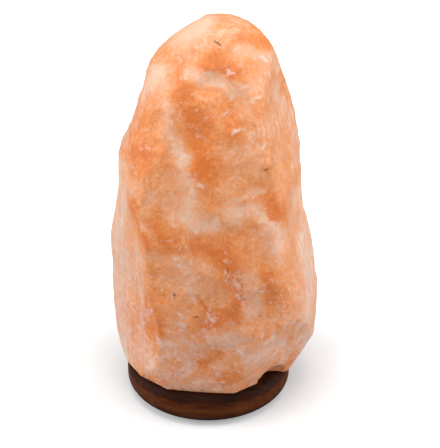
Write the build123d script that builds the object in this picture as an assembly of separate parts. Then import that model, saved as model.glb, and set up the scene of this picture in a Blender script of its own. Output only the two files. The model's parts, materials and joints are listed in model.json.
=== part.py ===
from build123d import *

import os
from math import cos, radians, sin, sqrt

# Salt crystal lamp. A drilled lump of rock salt is screwed to a turned wooden base, and a small
# bulb stands inside it in a lamp holder that is clipped into the base from below.
# Millimetres, +Z up. Everything is drawn about the base's own axis with the table at z = 0, and
# shifted at the end, so that the origin lies under the middle of the whole lamp's bounding box.
# The front of the lamp faces -Y and the cord would leave at the back, +Y.

# ---- Bulb, a pear-shaped E14 one ----
BULB_DIAMETER = 28.0
BULB_LENGTH = 63.0  # tip of the contact to the top of the glass
BULB_NECK_DIAMETER = 14.6
BULB_NECK_SHOWING = 2.0  # straight part over the cap
GLASS_WALL = 0.8
CAP_DIAMETER = 13.4  # body of the screw cap, between crest and root
CAP_WALL = 0.4
CAP_LENGTH = 14.0
CAP_LIP_DIAMETER = 16.2  # the flared end that holds the glass
CAP_LIP_LENGTH = 3.0
CONTACT_DIAMETER = 4.6
CONTACT_HEIGHT = 1.2
INSULATOR_HEIGHT = 3.2
INSULATOR_MARGIN = 1.2  # round the contact
INSULATOR_PLUG_HEIGHT = 1.2  # inside the cap
THREAD_PITCH = 2.822
UNSCREW_TURNS = 3
FILAMENT_DIAMETER = 0.8
FILAMENT_HALF_SPAN = 7.0
FILAMENT_RISE = 4.0
FILAMENT_OVER_STEM = 6.0
LEAD_WIRE_DIAMETER = 0.7
WIRE_STRAIGHT_LENGTH = 2.0  # from the stem to the bend
STEM_DIAMETER = 5.0
STEM_WALL = 0.9
STEM_LENGTH = 15.0
STEM_FLARE_HEIGHT = 4.0

# ---- Lamp holder ----
HOLDER_DIAMETER = 27.0
HOLDER_WALL = 1.6
HOLDER_CAP_HEIGHT = 16.0  # underside to the rim that carries the contact block
HOLDER_NECK_LENGTH = 5.0  # part of that height that the collar screws over
HOLDER_NECK_STEP = 0.9
HOLDER_CAP_ROUNDING = 4.0
COLLAR_CLEARANCE = 0.1
COLLAR_GROOVE_COUNT = 14
COLLAR_GROOVE_RADIUS = 0.6
SHADE_DIAMETER = 20.6  # upper part of the skirt, round the screw sleeve
SHADE_WALL = 1.5
SHADE_TAPER_HEIGHT = 4.0
SLEEVE_CLEARANCE = 0.35  # between the bulb's cap and the screw sleeve
SLEEVE_WALL = 0.4
SLEEVE_LENGTH = 17.5
SLEEVE_FLANGE_WIDTH = 1.6
SHADE_STANDS_PROUD = 1.0  # how far the skirt reaches above the sleeve
BLOCK_FLANGE_HEIGHT = 3.0
BLOCK_BOSS_HEIGHT = 5.0
BLOCK_BOSS_DIAMETER = 18.0
POST_SIZE = 5.0
POST_HEIGHT = 7.0
POST_OFFSET = 5.5  # holder axis to the middle of a terminal post
POST_WIRE_HOLE = 2.2
TERMINAL_SCREW_DIAMETER = 2.6
TERMINAL_SCREW_LENGTH = 4.0
TERMINAL_HEAD_DIAMETER = 4.2
TERMINAL_HEAD_HEIGHT = 1.6
SLOT_WIDTH = 0.8
SLOT_DEPTH = 0.8
CONTACT_STRIP_WIDTH = 4.0
CONTACT_STRIP_THICKNESS = 0.5
CONTACT_GAP = 0.3  # between the bulb's contact and the tongue under it
TONGUE_RISE = 4.0  # over the contact block
TONGUE_OVERHANG = 1.5
NIPPLE_DIAMETER = 10.0
NIPPLE_LENGTH = 5.0
CORD_INLET_DIAMETER = 7.0
NUT_ACROSS_FLATS = 14.0
NUT_HEIGHT = 3.0

# ---- Spring clip ----
CLIP_THICKNESS = 0.6
CLIP_WIDTH = 10.0
CLIP_SIDE_GAP = 0.4  # between the holder and the clip's uprights
CLIP_BEND_RADIUS = 0.6  # inside the folded top
CLIP_EYE_DIAMETER = 18.0  # the clip widens to this round the nipple
CLIP_ROOM = 8.5  # round the holder, in the base's hole
CLIP_WALL_GAP = 0.3  # between a wing and the wall that it is pressed to
WING_SPLIT = 0.05
WING_PRESS_DROP = 14.0  # fold to the point that presses on the wall
WING_TAB_DROP = 25.0  # fold to the end of the finger tab
WING_TAB_INSET = 4.5  # how far the tab is bent back from the wall
UPRIGHT_HEIGHT = 17.0

# ---- Feet ----
FOOT_DIAMETER = 11.0
FOOT_HEIGHT = 4.0
FOOT_SINK = 1.0  # depth of the pocket that a foot is glued into
FOOT_BEVEL = 0.8
FOOT_COUNT = 4
FOOT_FIRST_ANGLE = 45.0
FOOT_EDGE_MARGIN = 1.0

# ---- Wooden base ----
BASE_DIAMETER = 110.0
BASE_THICKNESS = 20.0
BASE_TOP_ROUNDING = 8.0
BASE_BOTTOM_ROUNDING = 6.0
HOLE_CHAMFER = 1.0
GROOVE_WIDTH = 8.0
GROOVE_DEPTH = 9.0

# ---- Screws and plugs ----
SCREW_COUNT = 3
SCREW_FIRST_ANGLE = 30.0
SCREW_FROM_HOLE = 14.0  # wall of the base's hole to a screw's axis
SCREW_LENGTH = 38.0
SCREW_DIAMETER = 4.0
SCREW_POINT_LENGTH = 5.0
SCREW_HEAD_DIAMETER = 8.0
SCREW_HEAD_HEIGHT = 2.6
SCREW_HEAD_SINK = 0.6
SCREW_HOLE_CLEARANCE = 0.2
CROSS_WIDTH = 1.1
CROSS_LENGTH = 4.4
CROSS_DEPTH = 1.6
PLUG_DIAMETER = 7.0
PLUG_LENGTH = 22.0

# ---- Salt crystal ----
CRYSTAL_HEIGHT = 236.5
CRYSTAL_WIDTH = 132.0
CRYSTAL_DEPTH = 110.0
BORE_STEP = 2.0  # the bore is drilled this much wider than the base's hole, all round
BORE_HEADROOM = 12.0  # over the bulb when it is unscrewed
BORE_END_CHAMFER = 5.0

# Level cuts through the lump, from its foot to its crown: the height above the foot as a share of
# the crystal's height, then how far the salt reaches from the lamp's axis to the left and right, as
# shares of its width, and to the front and back, as shares of its depth.
SECTIONS = [
    (0.000, 0.409, 0.470, 0.444, 0.391),
    (0.042, 0.443, 0.515, 0.473, 0.441),
    (0.127, 0.458, 0.534, 0.500, 0.473),
    (0.254, 0.464, 0.530, 0.514, 0.491),
    (0.402, 0.458, 0.485, 0.500, 0.482),
    (0.550, 0.427, 0.447, 0.459, 0.455),
    (0.677, 0.383, 0.443, 0.409, 0.418),
    (0.782, 0.321, 0.388, 0.350, 0.373),
    (0.867, 0.262, 0.334, 0.282, 0.309),
    (0.938, 0.160, 0.268, 0.200, 0.227),
    (1.000, 0.008, 0.100, 0.027, 0.055),
]

# Where the outline of a level cut runs, seen from above: shares of its half width and half depth,
# counted from its own middle, going round from the ridge left of the front face.
OUTLINE = [
    (-0.66, -0.88),
    (0.00, -1.00),
    (0.70, -0.85),
    (1.00, -0.22),
    (0.93, 0.45),
    (0.52, 0.92),
    (-0.06, 1.00),
    (-0.62, 0.88),
    (-0.96, 0.42),
    (-1.00, -0.20),
]

# Flat faces where the salt split: the direction that each faces (degrees round from the right, and
# degrees up from level), and a point on it, as shares of the width, the depth and the height.
CLEAVED_FACES = [
    (211, -1.5, (-0.394, -0.191, 0.254)),  # left of the front
    (-18, 11, (0.473, -0.164, 0.338)),  # right of the front
    (150, 3, (-0.402, 0.255, 0.338)),  # back left
    (38, 5, (0.424, 0.309, 0.381)),  # back right
    (92, 4, (0.030, 0.468, 0.254)),  # back
    (236, 30, (-0.250, -0.282, 0.782)),  # crown, front left
    (-40, 28, (0.318, -0.227, 0.803)),  # crown, front right
    (98, 28, (0.030, 0.336, 0.825)),  # crown, back
    (-25, -25, (0.417, -0.175, 0.000)),  # foot, right
    (-55, -20, (0.326, -0.282, 0.000)),  # foot, right of the front
    (231, -20, (-0.286, -0.323, 0.000)),  # foot, left of the front
]

# Deep chips: the middle of the ball that hollows each one, in the same shares, and the ball's
# radius as a share of the width.
CHIPS = [
    ((0.015, -0.464, 0.905), 0.189),  # ledge under the crown
    ((0.197, -0.273, 0.998), 0.152),  # crown, right
    ((0.530, -0.309, 0.516), 0.152),  # right flank
    ((0.333, -0.336, 0.000), 0.091),  # notch at the foot
]

# Shallow flakes that came off all over the lump: the direction from the lamp's axis (degrees round
# from the right), the height as a share of the crystal's, then the radius of the ball that hollows
# the flake's scar and its depth, as shares of the width. A large ball leaves a nearly flat scar.
FLAKES = [
    (-118, 0.93, 0.9, 0.016),  # the front, from the crown down
    (-72, 0.83, 0.6, 0.016),
    (-100, 0.74, 1.6, 0.014),
    (-132, 0.74, 1.2, 0.018),
    (-76, 0.66, 2.5, 0.012),
    (-52, 0.60, 0.6, 0.022),
    (-112, 0.58, 3.0, 0.012),
    (-88, 0.47, 1.2, 0.014),
    (-60, 0.44, 2.0, 0.014),
    (-118, 0.38, 1.5, 0.014),
    (-90, 0.31, 3.0, 0.010),
    (-58, 0.28, 1.0, 0.018),
    (-124, 0.19, 2.0, 0.016),
    (-84, 0.12, 1.0, 0.016),
    (-30, 0.72, 2.0, 0.018),  # the right side
    (-16, 0.48, 1.0, 0.016),
    (8, 0.26, 1.6, 0.020),
    (-32, 0.18, 1.5, 0.018),
    (35, 0.78, 1.5, 0.018),  # the back
    (58, 0.60, 1.0, 0.022),
    (70, 0.34, 1.6, 0.024),
    (98, 0.72, 2.5, 0.018),
    (104, 0.46, 0.8, 0.022),
    (100, 0.16, 1.5, 0.022),
    (128, 0.66, 1.2, 0.022),
    (142, 0.34, 1.0, 0.022),
    (172, 0.78, 1.6, 0.018),  # the left side
    (178, 0.52, 1.2, 0.016),
    (168, 0.18, 1.5, 0.020),
    (-152, 0.30, 0.9, 0.014),
]

# ---- Heights and radii that follow from the sizes above ----
BASE_BOTTOM = FOOT_HEIGHT - FOOT_SINK
BASE_TOP = BASE_BOTTOM + BASE_THICKNESS
BASE_RADIUS = BASE_DIAMETER / 2
FOOT_CIRCLE = BASE_RADIUS - BASE_BOTTOM_ROUNDING - FOOT_EDGE_MARGIN - FOOT_DIAMETER / 2

HOLDER_RADIUS = HOLDER_DIAMETER / 2
HOLDER_BOTTOM = BASE_BOTTOM + GROOVE_DEPTH + NUT_HEIGHT  # the nut clears the cord's groove
HOLDER_RIM = HOLDER_BOTTOM + HOLDER_CAP_HEIGHT
NECK_RADIUS = HOLDER_RADIUS - HOLDER_NECK_STEP
CAVITY_RADIUS = NECK_RADIUS - HOLDER_WALL
BLOCK_FLANGE_RADIUS = NECK_RADIUS - COLLAR_CLEARANCE
BLOCK_SHOULDER = HOLDER_RIM + BLOCK_FLANGE_HEIGHT
BLOCK_TOP = BLOCK_SHOULDER + BLOCK_BOSS_HEIGHT

SLEEVE_BORE_RADIUS = CAP_DIAMETER / 2 + SLEEVE_CLEARANCE
SLEEVE_RADIUS = SLEEVE_BORE_RADIUS + SLEEVE_WALL
SLEEVE_TOP = BLOCK_TOP + SLEEVE_LENGTH
SHADE_TOP = SLEEVE_TOP + SHADE_STANDS_PROUD
TONGUE_TOP = BLOCK_TOP + TONGUE_RISE

SIDE_STRIP_Y = SLEEVE_RADIUS - SLEEVE_FLANGE_WIDTH / 2
CENTRE_STRIP_Y = -(SLEEVE_RADIUS - SLEEVE_FLANGE_WIDTH - SLEEVE_WALL - CONTACT_STRIP_THICKNESS / 2)

CONTACT_BOTTOM = TONGUE_TOP + CONTACT_GAP
INSULATOR_BOTTOM = CONTACT_BOTTOM + CONTACT_HEIGHT
CAP_BOTTOM = INSULATOR_BOTTOM + INSULATOR_HEIGHT
CAP_LIP_BOTTOM = CAP_BOTTOM + CAP_LENGTH
CAP_TOP = CAP_LIP_BOTTOM + CAP_LIP_LENGTH
STEM_BOTTOM = CAP_LIP_BOTTOM
STEM_TOP = STEM_BOTTOM + STEM_LENGTH
FILAMENT_END_HEIGHT = STEM_TOP + FILAMENT_OVER_STEM
BULB_TOP = CONTACT_BOTTOM + BULB_LENGTH
UNSCREW_RISE = UNSCREW_TURNS * THREAD_PITCH

HOLE_RADIUS = HOLDER_RADIUS + CLIP_ROOM
BORE_RADIUS = HOLE_RADIUS + BORE_STEP
BORE_TOP = BULB_TOP + UNSCREW_RISE + BORE_HEADROOM
SCREW_CIRCLE = HOLE_RADIUS + SCREW_FROM_HOLE

UPRIGHT_INNER = HOLDER_RADIUS + CLIP_SIDE_GAP
FOLD_X = UPRIGHT_INNER + CLIP_THICKNESS + CLIP_BEND_RADIUS
FOLD_Z = HOLDER_BOTTOM + UPRIGHT_HEIGHT
LIFT_TRAVEL = BULB_TOP + UNSCREW_RISE - BASE_BOTTOM + BORE_HEADROOM


def disc(radius, bottom, top):
    """An upright cylinder about the lamp's axis, between two heights."""
    return Pos(0, 0, bottom) * Cylinder(radius, top - bottom, align=(Align.CENTER, Align.CENTER, Align.MIN))


def ring(outer, inner, bottom, top):
    """An upright tube about the lamp's axis."""
    return disc(outer, bottom, top) - disc(inner, bottom, top)


def block(x_range, y_range, z_range):
    """A box between two corners."""
    (x0, x1), (y0, y1), (z0, z1) = x_range, y_range, z_range
    return Pos((x0 + x1) / 2, (y0 + y1) / 2, (z0 + z1) / 2) * Box(x1 - x0, y1 - y0, z1 - z0)


def turned(points):
    """A solid turned about the lamp's axis from an outline of (radius, height) corners."""
    return revolve(Plane.XZ * make_face(Polyline(*points, close=True)), Axis.Z)


def around(count, first_angle, radius):
    """Places on a circle about the lamp's axis, evenly spaced."""
    for step in range(count):
        angle = radians(first_angle + 360 * step / count)
        yield radius * cos(angle), radius * sin(angle)


def tube_along(path, diameter):
    """A round wire or rod along a path that starts where the path starts."""
    return sweep(path.location_at(0) * Circle(diameter / 2), path=path, transition=Transition.ROUND)


# ---- The crystal and what is fixed to it ----
def crystal_section(height, left, right, front, back):
    """One level cut through the lump, with a broad front between two ridges."""
    middle_x, half_x = CRYSTAL_WIDTH * (right - left) / 2, CRYSTAL_WIDTH * (right + left) / 2
    middle_y, half_y = CRYSTAL_DEPTH * (back - front) / 2, CRYSTAL_DEPTH * (back + front) / 2
    corners = [(middle_x + x * half_x, middle_y + y * half_y) for x, y in OUTLINE]
    return Pos(0, 0, BASE_TOP + height * CRYSTAL_HEIGHT) * make_face(Spline(*corners, periodic=True))


def crystal_point(shares):
    """A place in or near the crystal, from its shares of the width, the depth and the height."""
    x, y, height = shares
    return x * CRYSTAL_WIDTH, y * CRYSTAL_DEPTH, BASE_TOP + height * CRYSTAL_HEIGHT


def split_off(lump, heading, tilt, point):
    """The lump without what lies outside a flat face."""
    outward = (
        cos(radians(heading)) * cos(radians(tilt)),
        sin(radians(heading)) * cos(radians(tilt)),
        sin(radians(tilt)),
    )
    face = Plane(origin=crystal_point(point), z_dir=outward)
    return lump.split(face, keep=Keep.BOTTOM)


def flake_ball(lump, heading, height, radius, depth):
    """The ball that hollows out one flake, sunk into the lump where a level line from the axis leaves it."""
    level = BASE_TOP + height * CRYSTAL_HEIGHT
    outward = Vector(cos(radians(heading)), sin(radians(heading)), 0)
    leaving = lump.find_intersection_points(Axis((0, 0, level), outward))
    point, normal = max(leaving, key=lambda hit: hit[0].dot(outward))
    return Pos(point + normal * (radius - depth) * CRYSTAL_WIDTH) * Sphere(radius * CRYSTAL_WIDTH)


def make_crystal():
    """The lump of rock salt, with the bulb's bore and the plugs' holes drilled from its foot."""
    lump = loft([crystal_section(*section) for section in SECTIONS])
    for face in CLEAVED_FACES:
        lump = split_off(lump, *face)
    for middle, radius in CHIPS:
        lump -= Pos(*crystal_point(middle)) * Sphere(radius * CRYSTAL_WIDTH)
    lump -= [flake_ball(lump, *flake) for flake in FLAKES]
    bore = disc(BORE_RADIUS, BASE_TOP, BORE_TOP)
    bore = chamfer(bore.faces().sort_by(Axis.Z)[-1].edges(), BORE_END_CHAMFER)
    lump -= bore
    for x, y in around(SCREW_COUNT, SCREW_FIRST_ANGLE, SCREW_CIRCLE):
        lump -= Pos(x, y) * disc(PLUG_DIAMETER / 2, BASE_TOP, BASE_TOP + PLUG_LENGTH)
    return lump


def make_base():
    """The turned disc, with its hole, the cord's groove, the screw holes and the feet's pockets."""
    wood = disc(BASE_RADIUS, BASE_BOTTOM, BASE_TOP)
    wood = fillet(wood.edges().sort_by(Axis.Z)[-1], BASE_TOP_ROUNDING)
    wood = fillet(wood.edges().sort_by(Axis.Z)[0], BASE_BOTTOM_ROUNDING)
    wood -= disc(HOLE_RADIUS, BASE_BOTTOM, BASE_TOP)
    wood -= turned([
        (0, BASE_BOTTOM),
        (HOLE_RADIUS + HOLE_CHAMFER, BASE_BOTTOM),
        (HOLE_RADIUS, BASE_BOTTOM + HOLE_CHAMFER),
        (0, BASE_BOTTOM + HOLE_CHAMFER),
    ])
    wood -= block(
        (-GROOVE_WIDTH / 2, GROOVE_WIDTH / 2),
        (0, BASE_RADIUS),
        (BASE_BOTTOM, BASE_BOTTOM + GROOVE_DEPTH),
    )
    for x, y in around(FOOT_COUNT, FOOT_FIRST_ANGLE, FOOT_CIRCLE):
        wood -= Pos(x, y) * disc(FOOT_DIAMETER / 2, BASE_BOTTOM, BASE_BOTTOM + FOOT_SINK)
    head_seat = BASE_BOTTOM + SCREW_HEAD_SINK
    for x, y in around(SCREW_COUNT, SCREW_FIRST_ANGLE, SCREW_CIRCLE):
        wood -= Pos(x, y) * disc(SCREW_DIAMETER / 2 + SCREW_HOLE_CLEARANCE, BASE_BOTTOM, BASE_TOP)
        wood -= Pos(x, y) * turned([
            (0, BASE_BOTTOM),
            (SCREW_HEAD_DIAMETER / 2, BASE_BOTTOM),
            (SCREW_HEAD_DIAMETER / 2, head_seat),
            (SCREW_DIAMETER / 2, head_seat + SCREW_HEAD_HEIGHT),
            (0, head_seat + SCREW_HEAD_HEIGHT),
        ])
    return wood


def make_foot():
    """One round rubber pad, its rim bevelled where it meets the table."""
    pad = disc(FOOT_DIAMETER / 2, 0, FOOT_HEIGHT)
    return chamfer(pad.edges().sort_by(Axis.Z)[0], FOOT_BEVEL)


def make_screw():
    """One countersunk wood screw, point upwards, with a cross recess in its head."""
    head = BASE_BOTTOM + SCREW_HEAD_SINK
    point = head + SCREW_LENGTH
    screw = turned([
        (0, head),
        (SCREW_HEAD_DIAMETER / 2, head),
        (SCREW_DIAMETER / 2, head + SCREW_HEAD_HEIGHT),
        (SCREW_DIAMETER / 2, point - SCREW_POINT_LENGTH),
        (0, point),
    ])
    half_length, half_width = CROSS_LENGTH / 2, CROSS_WIDTH / 2
    depth = (head, head + CROSS_DEPTH)
    screw -= block((-half_length, half_length), (-half_width, half_width), depth)
    screw -= block((-half_width, half_width), (-half_length, half_length), depth)
    return screw


def make_plug():
    """One nylon plug in the salt: closed at its far end, and bored for the screw's shank."""
    point = BASE_BOTTOM + SCREW_HEAD_SINK + SCREW_LENGTH
    plug = disc(PLUG_DIAMETER / 2, BASE_TOP, BASE_TOP + PLUG_LENGTH)
    return plug - turned([
        (0, BASE_TOP),
        (SCREW_DIAMETER / 2, BASE_TOP),
        (SCREW_DIAMETER / 2, point - SCREW_POINT_LENGTH),
        (0, point),
    ])


def copies(piece, count, first_angle, radius):
    """The same piece at each place on a circle, as separate solids."""
    return Compound([Pos(x, y) * piece for x, y in around(count, first_angle, radius)])


# ---- The lamp holder ----
def make_holder_cap():
    """The moulded bottom of the holder: a hollow cup with a neck for the collar and a hollow nipple."""
    cup = disc(HOLDER_RADIUS, HOLDER_BOTTOM, HOLDER_RIM - HOLDER_NECK_LENGTH)
    cup = fillet(cup.edges().sort_by(Axis.Z)[0], HOLDER_CAP_ROUNDING)
    cup += disc(NECK_RADIUS, HOLDER_RIM - HOLDER_NECK_LENGTH, HOLDER_RIM)
    cup += disc(NIPPLE_DIAMETER / 2, HOLDER_BOTTOM - NIPPLE_LENGTH, HOLDER_BOTTOM + HOLDER_WALL)
    cavity = disc(CAVITY_RADIUS, HOLDER_BOTTOM + HOLDER_WALL, HOLDER_RIM)
    cavity = chamfer(cavity.edges().sort_by(Axis.Z)[0], HOLDER_CAP_ROUNDING - HOLDER_WALL)
    cup -= cavity
    return cup - disc(CORD_INLET_DIAMETER / 2, HOLDER_BOTTOM - NIPPLE_LENGTH, HOLDER_RIM)


def make_holder_skirt():
    """The upper shell: a grooved collar that screws over the cap's neck, tapering to the bulb's shade."""
    collar_bottom = HOLDER_RIM - HOLDER_NECK_LENGTH
    taper_bottom = BLOCK_SHOULDER + HOLDER_WALL
    taper_top = taper_bottom + SHADE_TAPER_HEIGHT
    shade_radius = SHADE_DIAMETER / 2
    inner_radius = shade_radius - SHADE_WALL
    skirt = turned([
        (NECK_RADIUS, collar_bottom),
        (HOLDER_RADIUS, collar_bottom),
        (HOLDER_RADIUS, taper_bottom),
        (shade_radius, taper_top),
        (shade_radius, SHADE_TOP),
        (inner_radius, SHADE_TOP),
        (inner_radius, BLOCK_TOP + SLEEVE_WALL),
        (BLOCK_BOSS_DIAMETER / 2, BLOCK_TOP),
        (BLOCK_BOSS_DIAMETER / 2, BLOCK_SHOULDER),
        (NECK_RADIUS, BLOCK_SHOULDER),
    ])
    for x, y in around(COLLAR_GROOVE_COUNT, 0, HOLDER_RADIUS):
        groove = Cylinder(COLLAR_GROOVE_RADIUS, taper_bottom - collar_bottom)
        skirt -= Pos(x, y, (collar_bottom + taper_bottom) / 2) * groove
    return skirt


def strip_slot(y):
    """The slit through the contact block for a contact strip that stands at y."""
    half = CONTACT_STRIP_WIDTH / 2
    return block(
        (-half, half),
        (y - CONTACT_STRIP_THICKNESS / 2, y + CONTACT_STRIP_THICKNESS / 2),
        (HOLDER_RIM, BLOCK_TOP),
    )


def make_contact_block():
    """The insulating disc that carries the sleeve on top and the terminals below."""
    piece = disc(BLOCK_FLANGE_RADIUS, HOLDER_RIM, BLOCK_SHOULDER)
    piece += disc(BLOCK_BOSS_DIAMETER / 2, BLOCK_SHOULDER, BLOCK_TOP)
    return piece - strip_slot(SIDE_STRIP_Y) - strip_slot(CENTRE_STRIP_Y)


def make_screw_sleeve():
    """The brass tube that the bulb's cap screws into, flanged inwards where it is fixed to the block."""
    tube = ring(SLEEVE_RADIUS, SLEEVE_BORE_RADIUS, BLOCK_TOP, SLEEVE_TOP)
    flange = ring(
        SLEEVE_RADIUS, SLEEVE_RADIUS - SLEEVE_FLANGE_WIDTH, BLOCK_TOP, BLOCK_TOP + SLEEVE_WALL
    )
    return tube + flange


def make_centre_contact():
    """The springy tongue: up through the block from its terminal, and bent over under the bulb."""
    half = CONTACT_STRIP_WIDTH / 2
    thickness = CONTACT_STRIP_THICKNESS
    stem = block(
        (-half, half),
        (CENTRE_STRIP_Y - thickness / 2, CENTRE_STRIP_Y + thickness / 2),
        (HOLDER_RIM, TONGUE_TOP),
    )
    tongue = block(
        (-half, half),
        (CENTRE_STRIP_Y - thickness / 2, TONGUE_OVERHANG),
        (TONGUE_TOP - thickness, TONGUE_TOP),
    )
    return stem + tongue


def make_side_contact():
    """The strip that joins the sleeve's flange to the other terminal."""
    half = CONTACT_STRIP_WIDTH / 2
    return block(
        (-half, half),
        (SIDE_STRIP_Y - CONTACT_STRIP_THICKNESS / 2, SIDE_STRIP_Y + CONTACT_STRIP_THICKNESS / 2),
        (HOLDER_RIM, BLOCK_TOP),
    )


def make_terminal_posts():
    """Two brass blocks under the contact block, each with a wire's hole and a tapped clamping hole."""
    half = POST_SIZE / 2
    posts = []
    for side in (-1, 1):
        post = block((-half, half), (-half, half), (HOLDER_RIM - POST_HEIGHT, HOLDER_RIM))
        post = Pos(0, side * POST_OFFSET) * post
        post -= Pos(0, side * POST_OFFSET) * disc(
            POST_WIRE_HOLE / 2, HOLDER_RIM - POST_HEIGHT, HOLDER_RIM - POST_HEIGHT / 4
        )
        post -= terminal_shank(side)
        posts.append(post)
    return Compound(posts)


def terminal_shank(side):
    """The shank of a clamping screw, from a post's outer face into the wire's hole."""
    face = POST_OFFSET + POST_SIZE / 2
    middle = face - TERMINAL_SCREW_LENGTH / 2
    place = Pos(0, side * middle, HOLDER_RIM - POST_HEIGHT / 2) * Rot(90, 0, 0)
    return place * Cylinder(TERMINAL_SCREW_DIAMETER / 2, TERMINAL_SCREW_LENGTH)


def make_terminal_screws():
    """The two cheese-head screws that clamp the wires, slotted across their heads."""
    screws = []
    for side in (-1, 1):
        face = POST_OFFSET + POST_SIZE / 2
        height = HOLDER_RIM - POST_HEIGHT / 2
        end = face + TERMINAL_HEAD_HEIGHT
        head = Pos(0, side * (face + end) / 2, height) * Rot(90, 0, 0) * Cylinder(
            TERMINAL_HEAD_DIAMETER / 2, TERMINAL_HEAD_HEIGHT
        )
        slot = Pos(0, side * (end - SLOT_DEPTH / 2), height) * Box(
            TERMINAL_HEAD_DIAMETER, SLOT_DEPTH, SLOT_WIDTH
        )
        screws.append(terminal_shank(side) + head - slot)
    return Compound(screws)


def make_lock_nut():
    """The hexagonal nut on the nipple, which holds the clip to the holder."""
    top = HOLDER_BOTTOM - CLIP_THICKNESS
    hexagon = RegularPolygon(NUT_ACROSS_FLATS / 2, 6, major_radius=False)
    nut = Pos(0, 0, top - NUT_HEIGHT) * extrude(hexagon, NUT_HEIGHT)
    return nut - disc(NIPPLE_DIAMETER / 2, top - NUT_HEIGHT, top)


# ---- The spring clip ----
def fold_quarter(side, to_wing):
    """One quarter of the clip's folded top: the bracket's, or the one that turns with the wing."""
    middle = Pos(side * FOLD_X, 0, FOLD_Z) * Rot(90, 0, 0)
    bend = Cylinder(CLIP_BEND_RADIUS + CLIP_THICKNESS, CLIP_WIDTH) - Cylinder(CLIP_BEND_RADIUS, CLIP_WIDTH)
    reach = 2 * (CLIP_BEND_RADIUS + CLIP_THICKNESS)
    start = WING_SPLIT / 2 if to_wing else -reach
    end = reach if to_wing else -WING_SPLIT / 2
    x_range = sorted((side * (FOLD_X + start), side * (FOLD_X + end)))
    window = block(x_range, (-CLIP_WIDTH, CLIP_WIDTH), (FOLD_Z, FOLD_Z + reach))
    return (middle * bend) & window


def make_clip_bracket():
    """The sprung strip's fixed part: a bridge under the holder and an upright on each side of it."""
    half = CLIP_WIDTH / 2
    outer = UPRIGHT_INNER + CLIP_THICKNESS
    bracket = block((-outer, outer), (-half, half), (HOLDER_BOTTOM - CLIP_THICKNESS, HOLDER_BOTTOM))
    bracket += disc(CLIP_EYE_DIAMETER / 2, HOLDER_BOTTOM - CLIP_THICKNESS, HOLDER_BOTTOM)
    bracket -= disc(NIPPLE_DIAMETER / 2, HOLDER_BOTTOM - CLIP_THICKNESS, HOLDER_BOTTOM)
    for side in (-1, 1):
        x_range = sorted((side * UPRIGHT_INNER, side * outer))
        bracket += block(x_range, (-half, half), (HOLDER_BOTTOM - CLIP_THICKNESS, FOLD_Z))
        bracket += fold_quarter(side, to_wing=False)
    return bracket


def make_clip_wing(side):
    """One wing: down and out from the fold to the wall of the base's hole, then in to a finger tab."""
    inner, outer = CLIP_BEND_RADIUS, CLIP_BEND_RADIUS + CLIP_THICKNESS
    press_x = sqrt(HOLE_RADIUS**2 - (CLIP_WIDTH / 2) ** 2) - CLIP_WALL_GAP
    press_z = FOLD_Z - WING_PRESS_DROP
    tab_z = FOLD_Z - WING_TAB_DROP
    outline = Polyline(
        (side * (FOLD_X + inner), FOLD_Z),
        (side * (FOLD_X + outer), FOLD_Z),
        (side * press_x, press_z),
        (side * (press_x - WING_TAB_INSET), tab_z),
        (side * (press_x - WING_TAB_INSET - CLIP_THICKNESS), tab_z),
        (side * (press_x - 1.1 * CLIP_THICKNESS), press_z),
        close=True,
    )
    leg = extrude(Plane.XZ * make_face(outline), CLIP_WIDTH / 2, both=True)
    return leg + fold_quarter(side, to_wing=True)


# ---- The bulb ----
def bulb_outline(offset):
    """The glass's line from the neck's end to its top, moved inwards by an offset."""
    neck = BULB_NECK_DIAMETER / 2 - offset
    belly = BULB_DIAMETER / 2 - offset
    belly_height = BULB_TOP - BULB_DIAMETER / 2
    shoulder = CAP_TOP + BULB_NECK_SHOWING
    neck_line = Line((neck, CAP_LIP_BOTTOM), (neck, shoulder))
    flank = Spline(
        (neck, shoulder), (belly, belly_height), tangents=((0, 1), (0, 1)), tangent_scalars=(1.0, 1.6)
    )
    crown = RadiusArc((belly, belly_height), (0, BULB_TOP - offset), -belly)
    return neck_line, flank, crown


def make_bulb_glass():
    """The blown glass, pear-shaped, open at the neck where the stem is sealed in."""
    outer_neck, outer_flank, outer_crown = bulb_outline(0)
    inner_neck, inner_flank, inner_crown = bulb_outline(GLASS_WALL)
    top = Line(outer_crown @ 1, inner_crown @ 1)
    mouth = Line(inner_neck @ 0, outer_neck @ 0)
    outline = outer_neck + outer_flank + outer_crown + top + inner_crown + inner_flank + inner_neck + mouth
    return revolve(Plane.XZ * make_face(outline), Axis.Z)


def make_bulb_cap():
    """The thin metal screw cap, with the flared lip that is cemented to the neck."""
    body, lip, neck = CAP_DIAMETER / 2, CAP_LIP_DIAMETER / 2, BULB_NECK_DIAMETER / 2
    return turned([
        (body, CAP_BOTTOM),
        (body, CAP_LIP_BOTTOM - CAP_WALL),
        (lip, CAP_LIP_BOTTOM + CAP_WALL),
        (lip, CAP_TOP),
        (neck, CAP_TOP),
        (neck, CAP_LIP_BOTTOM),
        (body - CAP_WALL, CAP_LIP_BOTTOM - 2 * CAP_WALL),
        (body - CAP_WALL, CAP_BOTTOM),
    ])


def make_cap_insulator():
    """The black glass cone between the cap and its centre contact."""
    return turned([
        (0, INSULATOR_BOTTOM),
        (CONTACT_DIAMETER / 2 + INSULATOR_MARGIN, INSULATOR_BOTTOM),
        (CAP_DIAMETER / 2, CAP_BOTTOM),
        (CAP_DIAMETER / 2 - CAP_WALL, CAP_BOTTOM),
        (CAP_DIAMETER / 2 - CAP_WALL, CAP_BOTTOM + INSULATOR_PLUG_HEIGHT),
        (0, CAP_BOTTOM + INSULATOR_PLUG_HEIGHT),
    ])


def make_bulb_contact():
    """The blob of solder that closes the bulb's centre contact."""
    blob = disc(CONTACT_DIAMETER / 2, CONTACT_BOTTOM, INSULATOR_BOTTOM)
    return chamfer(blob.edges().sort_by(Axis.Z)[0], CONTACT_HEIGHT / 2)


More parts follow.
